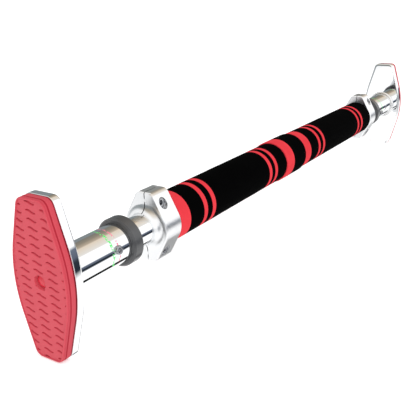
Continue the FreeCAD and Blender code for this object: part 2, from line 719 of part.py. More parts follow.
def guide_bush_of(name, sign):
    """Flanged guide bush in the main tube's mouth, which runs on the inner tube."""
    bore = "sizes.inner_radius + sizes.fit_gap"
    barrel = SLEEVE_BORE + " - sizes.fit_gap"
    inside = "%s(sizes.bar_half_length - sizes.guide_length)" % sign
    mouth = "%s sizes.bar_half_length" % sign
    outside = "%s(sizes.bar_half_length + sizes.flange_length)" % sign
    return turned(name, ((inside, bore), (inside, barrel), (mouth, barrel), (mouth, "sizes.flange_radius"),
                         (outside, "sizes.flange_radius"), (outside, bore)))


GRIP_BORE = "sizes.sleeve_radius + sizes.fit_gap"
STRIPE_FLOOR = "sizes.grip_radius - sizes.stripe_depth"


def grip_of(name, start, end, stripes):
    """Foam sleeve with a shallow groove for each stripe, its corners listed from start to end."""
    section = [(start, GRIP_BORE), (start, "sizes.grip_radius")]
    for middle in stripes:
        left = "%s - sizes.stripe_width / 2" % middle
        right = "%s + sizes.stripe_width / 2" % middle
        section += [(left, "sizes.grip_radius"), (left, STRIPE_FLOOR), (right, STRIPE_FLOOR),
                    (right, "sizes.grip_radius")]
    section += [(end, "sizes.grip_radius"), (end, GRIP_BORE)]
    return turned(name, section)


def stripes_of(name, stripes):
    """A pair of coloured rings in the grooves of a grip, one solid each."""
    rings = []
    for middle in stripes:
        rings.append(turned("%s_ring_%d" % (name, len(rings)), ring_section(
            "%s - sizes.stripe_width / 2" % middle, "%s + sizes.stripe_width / 2" % middle,
            STRIPE_FLOOR, "sizes.grip_radius")))
    pair = doc.addObject("Part::Compound", name)
    pair.Links = rings
    return pair


STRIPES = {
    "left_outer_stripes": ("-sizes.left_outer_stripe_far", "-sizes.left_outer_stripe_near"),
    "left_inner_stripes": ("-sizes.left_inner_stripe_far", "-sizes.left_inner_stripe_near"),
    "right_inner_stripes": ("sizes.right_inner_stripe_near", "sizes.right_inner_stripe_far"),
    "right_outer_stripes": ("sizes.right_outer_stripe_near", "sizes.right_outer_stripe_far"),
}

bar_pieces = [(main_tube_of("main_tube"), "main_tube")]
for side, sign in SIDES:
    for piece, make in (("guide_bush", guide_bush_of), ("drive_nut", drive_nut_of),
                        ("nut_pins", nut_pins_of)):
        node_name = "%s_%s" % (side, piece)
        bar_pieces.append((make(node_name, sign), node_name))
bar_pieces += [
    (turned("left_end_ring", ring_section("-sizes.grip_half_length", "-sizes.end_ring_inner", GRIP_BORE,
                                          "sizes.grip_radius")), "left_end_ring"),
    (grip_of("left_grip", "-sizes.end_ring_inner", "-sizes.centre_ring_outer",
             STRIPES["left_outer_stripes"] + STRIPES["left_inner_stripes"]), "left_grip"),
    (grip_of("right_grip", "sizes.centre_ring_outer", "sizes.grip_half_length",
             STRIPES["right_inner_stripes"] + STRIPES["right_outer_stripes"]), "right_grip"),
    (turned("right_centre_ring", ring_section("sizes.band_half_length", "sizes.centre_ring_outer",
                                              GRIP_BORE, "sizes.grip_radius")), "right_centre_ring"),
]
for node_name, start, end in (
        ("left_centre_ring", "-sizes.centre_ring_outer", "-sizes.band_half_length"),
        ("centre_band", "-sizes.band_half_length", "sizes.band_half_length")):
    raised = turned(node_name, ring_section(start, end, GRIP_BORE, "sizes.band_radius"))
    shoulder = start if node_name == "left_centre_ring" else end
    dress(raised, "Fillet", node_name + "_shoulder", "sizes.shoulder_radius",
          lambda edge: rim_at(shoulder)(edge) and edge.BoundBox.ZMax > value_of("sizes.grip_radius"))
    bar_pieces.append((raised, node_name))
bar_pieces += [(stripes_of(name, places), name) for name, places in STRIPES.items()]

for item, node_name in bar_pieces:
    add_node(item, node_name, "sizes.bar_shift")

# ---- Check and export ------------------------------------------------------------------------------

doc.recompute()
for item in doc.Objects:
    if "Invalid" in item.State or "Error" in item.State:
        raise RuntimeError("%s did not recompute: %s" % (item.Name, item.State))
for item in NODES:
    if item.Shape.isNull() or not item.Shape.isValid() or item.Shape.Volume <= 0:
        raise RuntimeError("%s has no valid solid" % item.Label)

os.makedirs("parts", exist_ok=True)
for item in NODES:
    item.Shape.exportStep("parts/%s.step" % item.Label)
print(len(NODES), "sub-parts written")
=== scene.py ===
import math

import bmesh
import bpy
import numpy as np
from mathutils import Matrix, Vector


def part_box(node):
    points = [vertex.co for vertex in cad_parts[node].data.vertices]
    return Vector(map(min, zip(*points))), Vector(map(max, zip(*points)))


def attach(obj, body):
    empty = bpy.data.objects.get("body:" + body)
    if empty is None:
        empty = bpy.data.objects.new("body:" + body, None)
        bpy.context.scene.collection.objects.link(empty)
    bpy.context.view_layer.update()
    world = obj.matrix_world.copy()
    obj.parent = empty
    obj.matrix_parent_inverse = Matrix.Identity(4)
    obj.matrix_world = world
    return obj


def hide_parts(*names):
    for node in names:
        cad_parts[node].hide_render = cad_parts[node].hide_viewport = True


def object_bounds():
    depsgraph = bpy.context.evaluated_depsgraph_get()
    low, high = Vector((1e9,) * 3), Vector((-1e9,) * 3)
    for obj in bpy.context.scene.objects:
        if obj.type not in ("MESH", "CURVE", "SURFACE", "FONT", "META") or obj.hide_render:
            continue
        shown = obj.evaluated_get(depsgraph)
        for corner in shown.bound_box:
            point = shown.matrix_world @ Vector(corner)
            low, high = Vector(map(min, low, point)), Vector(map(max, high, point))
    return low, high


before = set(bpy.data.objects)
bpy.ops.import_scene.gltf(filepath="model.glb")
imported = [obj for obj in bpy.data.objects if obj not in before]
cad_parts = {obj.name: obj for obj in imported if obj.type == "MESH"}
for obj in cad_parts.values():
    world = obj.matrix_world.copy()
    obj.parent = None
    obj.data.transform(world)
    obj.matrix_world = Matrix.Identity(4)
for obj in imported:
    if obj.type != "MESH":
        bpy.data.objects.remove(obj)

cad_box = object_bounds()


# ---- End trays -------------------------------------------------------------------------------------
# Each end plate is a shallow six-sided pan, pressed from steel sheet and chromed: its floor is 2 mm thick
# and its drawn wall 1.6 mm. The flat floor faces the bar, the rim grips the rubber pad, and a hole in the
# middle takes the stem of the pad's plug.

TRAY_TOP, TRAY_MIDDLE = 0.0152, 0.0364
TRAY_WALL, TRAY_FLOOR = 0.0016, 0.0020
TRAY_RIM_RADIUS, TRAY_BEND_RADIUS, TRAY_INNER_BEND = 0.0006, 0.0024, 0.0008
TRAY_HOLE = 0.0055
FLOOR_START, FLOOR_ROWS = 0.004, 4
CORNER_RADIUS, SIDE_RADIUS, CORNER_STEPS = 0.008, 0.120, 14
SMOOTH_ANGLE = math.radians(32)


def rounded(corners, radii, steps):
    """A closed line with its corners rounded, and the line's outward normals.

    Each corner becomes an arc that touches both of its sides: the arc's centre is on the corner's
    bisector, radius / sin(half the corner) away, and its points turn evenly from one side to the other.
    The corners are given anticlockwise.
    """
    corners = np.array(corners, float)
    radii = np.broadcast_to(np.array(radii, float), len(corners))[:, None]
    back, on = np.roll(corners, 1, 0) - corners, np.roll(corners, -1, 0) - corners
    back /= np.linalg.norm(back, axis=1, keepdims=True)
    on /= np.linalg.norm(on, axis=1, keepdims=True)
    turn = np.sign(on[:, :1] * back[:, 1:] - on[:, 1:] * back[:, :1])
    half = np.arccos(np.clip((back * on).sum(1, keepdims=True), -1, 1)) / 2
    inward = (back + on) / np.linalg.norm(back + on, axis=1, keepdims=True)
    centres = corners + inward * radii / np.sin(half)
    sweep = np.linspace(-1, 1, steps)[None, :] * (math.pi / 2 - half) * turn
    cos, sin = np.cos(sweep), np.sin(sweep)
    out = -inward
    spoke = np.stack([out[:, :1] * cos - out[:, 1:] * sin, out[:, :1] * sin + out[:, 1:] * cos], -1)
    line = centres[:, None] + spoke * radii[:, None]
    return line.reshape(-1, 2), (spoke * turn[:, None]).reshape(-1, 2)


def hexagon(half_height, half_top, half_middle, inset=0.0):
    """The end plate's outline in Y and Z, and its normals: narrow top and bottom, wide middle.

    The six corners are (top, height), (middle, 0) and their reflections. The narrow ones have the
    corner radius and the wide ones the side radius; inset moves the whole line inwards.
    """
    corners = [
        (half_top, half_height), (-half_top, half_height), (-half_middle, 0),
        (-half_top, -half_height), (half_top, -half_height), (half_middle, 0),
    ]
    radii = [CORNER_RADIUS, CORNER_RADIUS, SIDE_RADIUS] * 2
    line, normals = rounded(corners, radii, CORNER_STEPS)
    return line - normals * inset, normals


def skin(grid, join_rows=False, kept=None):
    """The corners and faces of a surface on a grid of points, rows by columns by 3.

    Every cell of the grid is a face, except those that kept leaves out. The last column joins the first,
    and the last row joins the first where join_rows says so.
    """
    rows, columns = grid.shape[:2]
    number = np.arange(rows * columns).reshape(rows, columns)
    number = np.hstack([number, number[:, :1]])
    if join_rows:
        number = np.vstack([number, number[:1]])
    cells = np.stack([number[:-1, :-1], number[1:, :-1], number[1:, 1:], number[:-1, 1:]], -1)
    if kept is not None:
        cells = cells[kept]
    return grid.reshape(-1, 3), cells.reshape(-1, 4).tolist()


def outwards(shape):
    """Turns a closed mesh's faces outwards, by the sign of the volume that they enclose."""
    if shape.calc_volume(signed=True) < 0:
        bmesh.ops.reverse_faces(shape, faces=shape.faces)


def piece(name, surface, finish, body, nodes, wall=0.0):
    """A finished piece, made from a surface, which is drawn out to a wall's thickness if one is given.

    It has a finish, rides on a body and stands for nodes.
    """
    mesh = bpy.data.meshes.new(name)
    points, faces = surface
    mesh.from_pydata(points.tolist(), [], faces)
    made = bpy.data.objects.new(name, mesh)
    bpy.context.scene.collection.objects.link(made)
    if wall:
        sheet = made.modifiers.new("wall", "SOLIDIFY")
        sheet.thickness, sheet.offset = wall, -1.0
        solid = made.evaluated_get(bpy.context.evaluated_depsgraph_get())
        made.data = bpy.data.meshes.new_from_object(solid)
        made.modifiers.clear()
        made.data.name = name
    shape = bmesh.new()
    shape.from_mesh(made.data)
    bmesh.ops.remove_doubles(shape, verts=shape.verts, dist=1e-7)
    outwards(shape)
    shape.to_mesh(made.data)
    shape.free()
    return settle(made, finish, body, nodes)


def coat(mesh, finish):
    """Gives a mesh that finish and no other."""
    mesh.materials.clear()
    mesh.materials.append(finish)


def settle(made, finish, body, nodes):
    """Shades a piece, so that flat faces stay flat beside their rounded edges, and ties it to the frame."""
    made.data.shade_smooth()
    made.data.set_sharp_from_angle(angle=SMOOTH_ANGLE)
    even = made.modifiers.new("even shading", "WEIGHTED_NORMAL")
    even.keep_sharp = True
    for mesh in [made.data] + [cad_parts[node].data for node in nodes]:
        coat(mesh, finish)
    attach(made, body)
    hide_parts(*nodes)
    return made


def half_turn(surface):
    """The same surface turned half round the Y axis, which makes a right piece from a left one."""
    points, faces = surface
    return points * (-1, 1, -1), faces


class Signal:
    """A shader output that takes part in sums: each operator adds the Math node that works it out."""

    def __init__(self, nodes, socket):
        self.nodes, self.socket = nodes, socket

    def maths(self, operation, first, second=0.0):
        """Adds a Math node that works on two values."""
        return self.nodes.node("ShaderNodeMath", {"operation": operation}, {0: first, 1: second})

    def __add__(self, other):
        return self.maths("ADD", self, other)

    def __sub__(self, other):
        return self.maths("SUBTRACT", self, other)

    def __rsub__(self, other):
        return self.maths("SUBTRACT", other, self)

    def __mul__(self, other):
        return self.maths("MULTIPLY", self, other)

    def __truediv__(self, other):
        return self.maths("DIVIDE", self, other)

    def __neg__(self):
        return self.maths("MULTIPLY", self, -1.0)

    def __abs__(self):
        return self.maths("ABSOLUTE", self)

    __radd__, __rmul__ = __add__, __mul__

    def rising(self, low, high):
        """0 below low, 1 above high, and a smooth rise between them."""
        return self.nodes.node(
            "ShaderNodeMapRange", {"interpolation_type": "SMOOTHSTEP"},
            {"Value": self, "From Min": low, "From Max": high},
        )


class Nodes:
    """A node tree, to which nodes are added by calls."""

    def __init__(self, tree):
        self.tree = tree

    def put(self, node, values):
        """Links signals to a node's sockets, and sets the sockets whose values are plain."""
        for key, value in values.items():
            if isinstance(value, Signal):
                self.tree.links.new(value.socket, node.inputs[key])
            else:
                node.inputs[key].default_value = value

    def node(self, kind, settings, values, output=0):
        """Adds a node with its settings and its sockets' values, and gives one of its outputs."""
        made = self.tree.nodes.new(kind)
        for key, value in settings.items():
            if key == "stops":
                for place, _ in value[2:]:
                    made.color_ramp.elements.new(place)
                for stop, (place, colour) in zip(made.color_ramp.elements, value):
                    stop.position, stop.color = place, (*colour, 1)
            else:
                setattr(made, key, value)
        self.put(made, values)
        return Signal(self, made.outputs[output])

    def blend(self, one, other, share):
        """One colour where share is 0, the other where it is 1."""
        values = {0: share}
        for key, colour in ((6, one), (7, other)):
            values[key] = colour if isinstance(colour, Signal) else (*colour, 1)
        return self.node("ShaderNodeMix", {"data_type": "RGBA"}, values, 2)

    def axes(self, vector):
        """The X, Y and Z of a vector."""
        split = self.node("ShaderNodeSeparateXYZ", {}, {"Vector": vector})
        return [Signal(self, split.socket.node.outputs[axis]) for axis in "XYZ"]


class Finish(Nodes):
    """A material. What is the same all over it is given by name and set on the shader's own sockets."""

    def __init__(self, name, constants):
        self.material = bpy.data.materials.new(name)
        self.material.use_nodes = True
        super().__init__(self.material.node_tree)
        self.shader = self.tree.nodes["Principled BSDF"]
        self.put(self.shader, constants)
        self.place = self.node("ShaderNodeTexCoord", {}, {}, "Object")

    def noise(self, scale, detail=2.0, stretch=None):
        """Noise from 0 to 1 with so many lumps to a metre, drawn out along an axis where stretch says so."""
        place = self.place
        if stretch:
            place = self.node("ShaderNodeMapping", {}, {"Vector": place, "Scale": stretch})
        return self.node("ShaderNodeTexNoise", {}, {"Vector": place, "Scale": scale, "Detail": detail}, "Fac")

    def bump(self, height, depth, strength=1.0):
        """The normal of a surface with hollows and lumps of that depth in metres."""
        values = {"Height": height, "Distance": depth, "Strength": strength}
        return self.node("ShaderNodeBump", {}, values, "Normal")

    def wear(self, **changing):
        """Feeds the sockets that change over the surface, and gives the material."""
        self.put(self.shader, {key.replace("_", " "): value for key, value in changing.items()})
        return self.material


CHROME_BRIGHT, CHROME_DULL = (0.93, 0.94, 0.95), (0.86, 0.87, 0.88)


def chrome(name, grain=(1, 1, 1), satin=0.0):
    """Chrome over steel: a faint haze, faint polishing lines along the work, slow changes of tone."""
    finish = Finish(name, {"Metallic": 1.0})
    haze = finish.noise(60.0, 3.0)
    lines = finish.noise(900.0, 2.0, grain)
    tone = finish.blend(CHROME_BRIGHT, CHROME_DULL, haze * 0.7)
    rough = 0.02 + satin + haze.rising(0.45, 0.8) * 0.035 + lines * 0.02
    return finish.wear(Base_Color=tone, Roughness=rough, Normal=finish.bump(lines, 2e-6))


def pan(front, back, half_height):
    """A pressed tray: its section, rim, wall, bend and floor, carried round the six-sided outline.

    The section is a closed line of inset and depth. Over the floor the inset stops where the floor starts,
    and a share from 0 to 1 draws each point straight on to the edge of the round hole, on both faces.
    """
    wall, _ = rounded(
        [
            (-TRAY_WALL, front), (0, front), (0, back), (-FLOOR_START, back),
            (-FLOOR_START, back - TRAY_FLOOR), (-TRAY_WALL, back - TRAY_FLOOR),
        ],
        [TRAY_RIM_RADIUS, TRAY_RIM_RADIUS, TRAY_BEND_RADIUS, 0, 0, TRAY_INNER_BEND], 6,
    )
    cut = int(np.flatnonzero(np.isclose(wall[:, 1], back))[-1])
    line, normals = hexagon(half_height, TRAY_TOP, TRAY_MIDDLE)
    edge = line[None] + normals[None] * wall[:, :1, None]
    hole = line / np.linalg.norm(line, axis=1, keepdims=True) * TRAY_HOLE
    share = np.linspace(0, 1, FLOOR_ROWS + 1)[1:, None, None]
    floor = edge[cut] + (hole - edge[cut]) * share
    rows = np.concatenate([edge[: cut + 1], floor, floor[::-1], edge[cut + 1 :]])
    floor_depth = np.repeat([back, back - TRAY_FLOOR], FLOOR_ROWS)
    depth = np.concatenate([wall[: cut + 1, 1], floor_depth, wall[cut + 1 :, 1]])
    grid = np.concatenate([np.broadcast_to(depth[:, None, None], rows.shape[:2] + (1,)), rows], -1)
    return skin(grid, join_rows=True)


tray_low, tray_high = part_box("left_tray")
tray_surface = pan(tray_low.x, tray_high.x, tray_high.z)
tray_chrome = chrome("tray_chrome")
piece("left_tray_pan", tray_surface, tray_chrome, "left_end", ["left_tray"])
piece("right_tray_pan", half_turn(tray_surface), tray_chrome, "right_end", ["right_tray"])


# ---- Rubber pads -----------------------------------------------------------------------------------
# Each pad is moulded red rubber, pressed into its tray. A tread of shallow wave-shaped grooves covers
# its face inside a low bead, its side is stepped, and a round well in its middle holds the plug.

PAD_TOP, PAD_MIDDLE = 0.0146, 0.0347
PAD_PROUD = 0.0101
FACE_INSET, FACE_DEPTH, GRID_STEP = 0.0020, 0.0006, 0.00045
GROOVE_LENGTH, GROOVE_DROP, GROOVE_WIDTH, GROOVE_DEPTH = 0.0108, 0.0019, 0.0019, 0.0009
COLUMN_STEP, COLUMN_START, ROW_STEP, ROW_START, ROW_SHIFT = 0.0156, 0.0003, 0.00724, 0.0678, 0.0021
GROOVE_WAVE = math.pi * 0.75
WELL_RADIUS, WELL_DEPTH, WELL_EDGE, WELL_REACH = 0.0058, 0.0048, 0.0004, 0.0125
# PAD_PAINTED_SHADE is painted shade: a darker red laid into the grooves and in lines along the pad's stepped
# side.
PAD_LIGHT, PAD_SHADE, PAD_PAINTED_SHADE = (0.62, 0.072, 0.097), (0.54, 0.055, 0.078), (0.44, 0.016, 0.036)


def tread(y, z):
    """How deep the tread's grooves are at each point, from 0 to 1.

    Grooves stand in columns along Z, a row step apart, and each column is shifted up from the next.
    A groove follows three quarters of a sine wave, low towards -Y; the depth falls off with the distance
    from that line over the groove's half width, which narrows to the groove's ends like an ellipse.
    """
    column = np.round((COLUMN_START - y) / COLUMN_STEP)
    along = (y - COLUMN_START + column * COLUMN_STEP) / (GROOVE_LENGTH / 2)
    phase = np.clip(along, -1, 1) * GROOVE_WAVE
    line = GROOVE_DROP / 2 * np.sin(phase)
    steps = (ROW_START + ROW_SHIFT * column - (z - line)) / ROW_STEP
    away = np.abs(steps - np.round(steps)) * ROW_STEP
    slope = GROOVE_DROP / GROOVE_LENGTH * GROOVE_WAVE * np.cos(phase)
    away = away / np.sqrt(1 + slope**2)
    half = GROOVE_WIDTH / 2 * np.sqrt(np.clip(1.02 - along**2, 0, 1))
    share = np.clip(1.35 - away / np.maximum(half, 1e-5), 0, 1) * (np.abs(along) < 1.01)
    return share * share * (3 - 2 * share)


def face_grid(half_height):
    """The pad's face as a grid of rows between the outline's two sides: across, up, and Y.

    Rows lie as densely as the outline's corners need. Round the middle the grid's square rings are drawn
    to circles, so that the well is round. Y is across, narrowed to the outline's width at that height.
    """
    line, _ = hexagon(half_height, PAD_TOP, PAD_MIDDLE, FACE_INSET)
    right = line[line[:, 0] > 0]
    right = right[np.argsort(right[:, 1])]
    corner = right[right[:, 1] > half_height - CORNER_RADIUS * 1.2, 1]
    middle = np.linspace(-corner[0], corner[0], 2 * int(corner[0] / GRID_STEP) + 1)
    z = np.concatenate([-corner[:0:-1], middle, corner[1:]])[::-1]
    half = np.interp(z, right[:, 1], right[:, 0])
    u = np.linspace(-1, 1, 2 * int(half.max() / GRID_STEP) + 1)
    across, up = np.meshgrid(u * half.max(), z)
    ring, reach = np.maximum(np.abs(across), np.abs(up)), np.hypot(across, up)
    pull = np.clip((WELL_REACH - ring) / (WELL_REACH - WELL_RADIUS), 0, 1)
    scale = 1 + pull * (ring / np.maximum(reach, 1e-9) - 1)
    across, up = across * scale, up * scale
    return across, up, across * (np.interp(up, z[::-1], half[::-1]) / half.max())


def pad_surface(front, back, half_height):
    """A pad: its face is a grid, and its bead, side and foot are a section carried round the grid's border.

    The face drops by the groove depth, and in the well by the well's depth. The section lists how far out
    and back each place is, and its share of painted shade, which draws darker lines along the side. The
    second result is that share of painted shade at each point, which on the face follows the groove depth.
    """
    across, up, y = face_grid(half_height)
    reach = np.hypot(across, up)
    grooves = tread(y, up) * (reach > WELL_RADIUS + WELL_EDGE)
    well = np.clip((WELL_RADIUS + WELL_EDGE / 2 - reach) / WELL_EDGE, 0, 1)
    depth = FACE_DEPTH + grooves * GROOVE_DEPTH * (1 - well) + well * (WELL_DEPTH - FACE_DEPTH)
    border = np.zeros(up.shape, bool)
    border[[0, -1]] = True
    border[:, [0, -1]] = True
    depth[border], grooves[border] = FACE_DEPTH, 0
    face = np.stack([front + depth, y, up], -1)
    number = np.arange(up.size).reshape(up.shape)
    ring_points = np.concatenate([number[0], number[1:, -1], number[-1, -2::-1], number[-2:0:-1, 0]])
    edge = face.reshape(-1, 3)[ring_points, 1:]
    ahead = np.roll(edge, -1, 0) - np.roll(edge, 1, 0)
    normals = np.stack([-ahead[:, 1], ahead[:, 0]], -1) / np.linalg.norm(ahead, axis=1, keepdims=True)
    normals *= np.sign((normals * edge).sum(1).mean())
    # Each row of the section: how far out, how far back, and the share of painted shade there, which draws
    # darker lines along the side.
    section = np.array([
        (0.0001, 0.00055, 0.9), (0.0003, 0.0002, 0.5), (0.0006, 0, 0), (0.0011, 0, 0), (0.0016, 0.00025, 0.1),
        (0.0019, 0.0007, 0.5), (FACE_INSET, 0.0013, 0.6), (FACE_INSET, 0.0029, 0.35),
        (FACE_INSET, 0.0031, 0.9), (0.0014, 0.0034, 1), (0.0014, 0.0039, 1), (0.0022, 0.0044, 0.9),
        (0.0022, 0.0046, 0.3), (0.0022, 0.0088, 0.45), (0.0022, 0.0092, 1), (0.0018, 0.0099, 1),
        (-0.0003, PAD_PROUD, 1), (-0.0003, back - front, 1),
    ])
    side = edge[None] + normals[None] * section[:, :1, None]
    deep = np.broadcast_to((front + section[:, 1])[:, None, None], side.shape[:2] + (1,))
    count = len(ring_points)
    loops = np.vstack([ring_points, up.size + np.arange(len(section) * count).reshape(-1, count)])
    loops = np.hstack([loops, loops[:, :1]])
    points = np.vstack([face.reshape(-1, 3), np.concatenate([deep, side], -1).reshape(-1, 3)])
    faces = []
    for grid in (number, loops):
        cells = np.stack([grid[1:, :-1], grid[1:, 1:], grid[:-1, 1:], grid[:-1, :-1]], -1)
        faces += cells.reshape(-1, 4).tolist()
    faces.append(loops[-1, :-1].tolist())
    shade_share = np.concatenate([grooves.reshape(-1), np.repeat(section[:, 2], count)])
    return (points, faces), shade_share


def pad_rubber():
    """Moulded rubber: pinkish red with a fine matt grain, and painted shade: a darker red in the grooves and
    along its side.
    """
    finish = Finish("pad_rubber", {"IOR": 1.5, "Specular IOR Level": 0.35})
    groove = finish.node("ShaderNodeAttribute", {"attribute_name": "groove"}, {}, "Fac")
    grain, cloud = finish.noise(2600.0, 3.0), finish.noise(45.0, 2.0)
    base = finish.blend(PAD_LIGHT, PAD_SHADE, cloud.rising(0.35, 0.75) * 0.35 + grain * 0.2)
    # Painted shade: the groove attribute blends in a darker red in the grooves and along the side.
    tone = finish.blend(base, PAD_PAINTED_SHADE, groove)
    height = grain * 0.7 + finish.noise(700.0, 2.0)
    return finish.wear(Base_Color=tone, Roughness=0.5 + grain * 0.2, Normal=finish.bump(height, 6e-5))


pad_low, pad_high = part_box("left_pad")
pad_shape, painted_shade_share = pad_surface(pad_low.x, pad_high.x, pad_high.z)
rubber = pad_rubber()
for side, shape in (("left", pad_shape), ("right", half_turn(pad_shape))):
    pad = piece(side + "_pad_moulding", shape, rubber, side + "_end", [side + "_pad"])
    # The groove attribute holds each point's share of painted shade.
    values = pad.data.attributes.new("groove", "FLOAT", "POINT")
    values.data.foreach_set("value", painted_shade_share.astype(np.float32))


# ---- Pad plugs -------------------------------------------------------------------------------------
# A glossy red rubber plug sits at the bottom of each pad's well. Its stem goes through the pad and the
# tray, and a barb behind the tray's floor holds it there.

PLUG_RADIUS, PLUG_DOME, PLUG_EDGE, PLUG_COLUMNS = 0.0054, 0.0007, 0.0008, 64
PLUG_HEAD, PLUG_STEM, PLUG_BARB, PLUG_TIP, BARB_LENGTH = 0.0030, 0.0030, 0.0042, 0.0015, 0.0040


def turned(profile, columns):
    """A profile of places along the bar and radii, turned once round the bar's axis."""
    turn = np.linspace(0, 2 * math.pi, columns, endpoint=False)
    place, radius = profile[:, :1], profile[:, 1:]
    return np.stack([place + 0 * turn, radius * np.cos(turn), radius * np.sin(turn)], -1)


def plug_profile(start, end):
    """A plug from its head's edge to its tip: a shallow dome, a round edge, a stem and a tapered barb.

    The dome rises with the square of the distance from its edge; the edge is a quarter circle.
    """
    across = np.linspace(0, 1, 9)
    dome = np.stack([start - PLUG_DOME * (1 - across**2), across * (PLUG_RADIUS - PLUG_EDGE)], -1)
    bend = np.linspace(0, math.pi / 2, 6)[1:]
    edge = np.stack([
        start + PLUG_EDGE * (1 - np.cos(bend)), PLUG_RADIUS - PLUG_EDGE * (1 - np.sin(bend)),
    ], -1)
    neck = end - BARB_LENGTH
    stem = [
        (start + PLUG_HEAD, PLUG_RADIUS), (start + PLUG_HEAD, PLUG_STEM), (neck, PLUG_STEM),
        (neck, PLUG_BARB), (neck + BARB_LENGTH / 5, PLUG_BARB), (end, PLUG_TIP), (end, 0),
    ]
    return np.vstack([dome, edge, stem])


plug_finish = Finish("plug_rubber", {"IOR": 1.5, "Coat Weight": 0.2, "Coat Roughness": 0.2})
plug_grain = plug_finish.noise(1800.0, 3.0)
plug_rubber = plug_finish.wear(
    Base_Color=plug_finish.blend((0.72, 0.024, 0.05), (0.56, 0.014, 0.034), plug_grain),
    Roughness=0.3 + plug_grain * 0.15, Normal=plug_finish.bump(plug_grain, 4e-5),
)
plug_low, plug_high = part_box("left_pad_plug")
plug_surface = skin(turned(plug_profile(plug_low.x, plug_high.x), PLUG_COLUMNS))
piece("left_plug_button", plug_surface, plug_rubber, "left_end", ["left_pad_plug"])
piece("right_plug_button", half_turn(plug_surface), plug_rubber, "right_end", ["right_pad_plug"])


# ---- Sleeve tubes ----------------------------------------------------------------------------------
# The thicker chromed tube on each tray, with its ends' edges rounded. Two thin rings, green and pink and
# partly worn off, are printed round it near the small screw.

TUBE_WALL, TUBE_EDGE, EDGE_STEPS, SLEEVE_COLUMNS = 0.0015, 0.0004, 5, 128
RIGHT_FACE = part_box("right_pad")[1].x
PRINTED_RINGS = (
    # place from the pad's face, colour, half width, and the noise above which the print is left
    (0.0690, (0.10, 0.80, 0.16), 0.0017, 0.49),
    (0.0765, (0.85, 0.22, 0.32), 0.0011, 0.53),
)


def ring_line(start, end, inner, outer, radii):
    """The closed section of a ring.

    The radii are those of its corners in turn: start inner, end inner, end outer, start outer.
    """
    corners = [(start, inner), (end, inner), (end, outer), (start, outer)]
    return rounded(corners, radii, EDGE_STEPS)[0]


def printed_chrome():
    """Chrome with two printed rings, each a band of distance from the middle of the bar, broken by wear."""
    finish = Finish("printed_chrome", {})
    haze, lines = finish.noise(60.0, 3.0), finish.noise(900.0, 2.0, (0.05, 1, 1))
    along = abs(finish.axes(finish.place)[0])
    chips = finish.noise(420.0, 3.0)
    tone = finish.blend(CHROME_BRIGHT, CHROME_DULL, haze * 0.7)
    covers = []
    for ring, colour, width, least in PRINTED_RINGS:
        away = abs(along - (RIGHT_FACE - ring))
        covers.append((1.0 - away.rising(width * 0.7, width)) * chips.rising(least, least + 0.03))
        tone = finish.blend(tone, colour, covers[-1])
    print_cover = covers[0] + covers[1]
    rough = 0.02 + haze.rising(0.45, 0.8) * 0.03 + lines * 0.02 + print_cover * 0.3
    return finish.wear(Base_Color=tone, Metallic=1.0 - print_cover * 0.9, Roughness=rough,
                       Normal=finish.bump(lines, 2e-6))


sleeve_low, sleeve_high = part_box("left_sleeve_tube")
sleeve_line = ring_line(sleeve_low.x, sleeve_high.x, sleeve_high.z - TUBE_WALL, sleeve_high.z, TUBE_EDGE)
sleeve_surface = skin(turned(sleeve_line, SLEEVE_COLUMNS), True)
sleeve_chrome = printed_chrome()
piece("left_sleeve", sleeve_surface, sleeve_chrome, "left_end", ["left_sleeve_tube"])
piece("right_sleeve", half_turn(sleeve_surface), sleeve_chrome, "right_end", ["right_sleeve_tube"])


# ---- Weld beads ------------------------------------------------------------------------------------
# Each sleeve tube is welded to its tray all the way round. The bead is laid in overlapping ripples, and
# is plated together with the parts that it joins.

BEAD_LEG, BEAD_RIPPLES, BEAD_RELIEF = 0.0032, 46, 0.06


def bead(start, foot):
    """A bead of quarter-round section, whose size swells and shrinks with each ripple round the tube.

    The ripples lean along the section, so that they read as crescents.
    """
    turn = np.linspace(0, 2 * math.pi, BEAD_RIPPLES * 8, endpoint=False)
    sweep = np.linspace(0, math.pi / 2, 9)[:, None]
    ripple = np.abs(np.sin(turn * BEAD_RIPPLES / 2 + np.sin(2 * sweep) * 0.8))
    leg = BEAD_LEG * (1 - BEAD_RELIEF + BEAD_RELIEF * np.sqrt(ripple))
    place = np.vstack([start + leg * np.sin(sweep), start + 0 * turn[None]])
    radius = np.vstack([foot + leg * np.cos(sweep), foot + 0 * turn[None]])
    return skin(np.stack([place, radius * np.cos(turn), radius * np.sin(turn)], -1), True)


weld_finish = Finish("weld_metal", {"Metallic": 1.0})
weld_heat, weld_scale = weld_finish.noise(160.0, 3.0), weld_finish.noise(2200.0, 3.0)
weld_metal = weld_finish.wear(
    Base_Color=weld_finish.blend((0.90, 0.90, 0.91), (0.74, 0.74, 0.73), weld_heat),
    Roughness=0.08 + weld_scale * 0.16, Normal=weld_finish.bump(weld_scale, 5e-5),
)
weld_surface = bead(sleeve_low.x, sleeve_high.z)
piece("left_weld_ripples", weld_surface, weld_metal, "left_end", ["left_weld_bead"])
piece("right_weld_ripples", half_turn(weld_surface), weld_metal, "right_end", ["right_weld_bead"])


# ---- Collars ---------------------------------------------------------------------------------------
# A dark grey ring, moulded in plastic and pressed over each sleeve tube's mouth. A lip reaches down to the
# inner tube, and the edge towards the tray is bevelled.

COLLAR_BEVEL, COLLAR_EDGE, COLLAR_FIT = 0.0016, 0.0007, 0.0001
COLLAR_LIP, COLLAR_COLUMNS = 0.0064, 112
INNER_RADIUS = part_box("left_inner_tube")[1].z


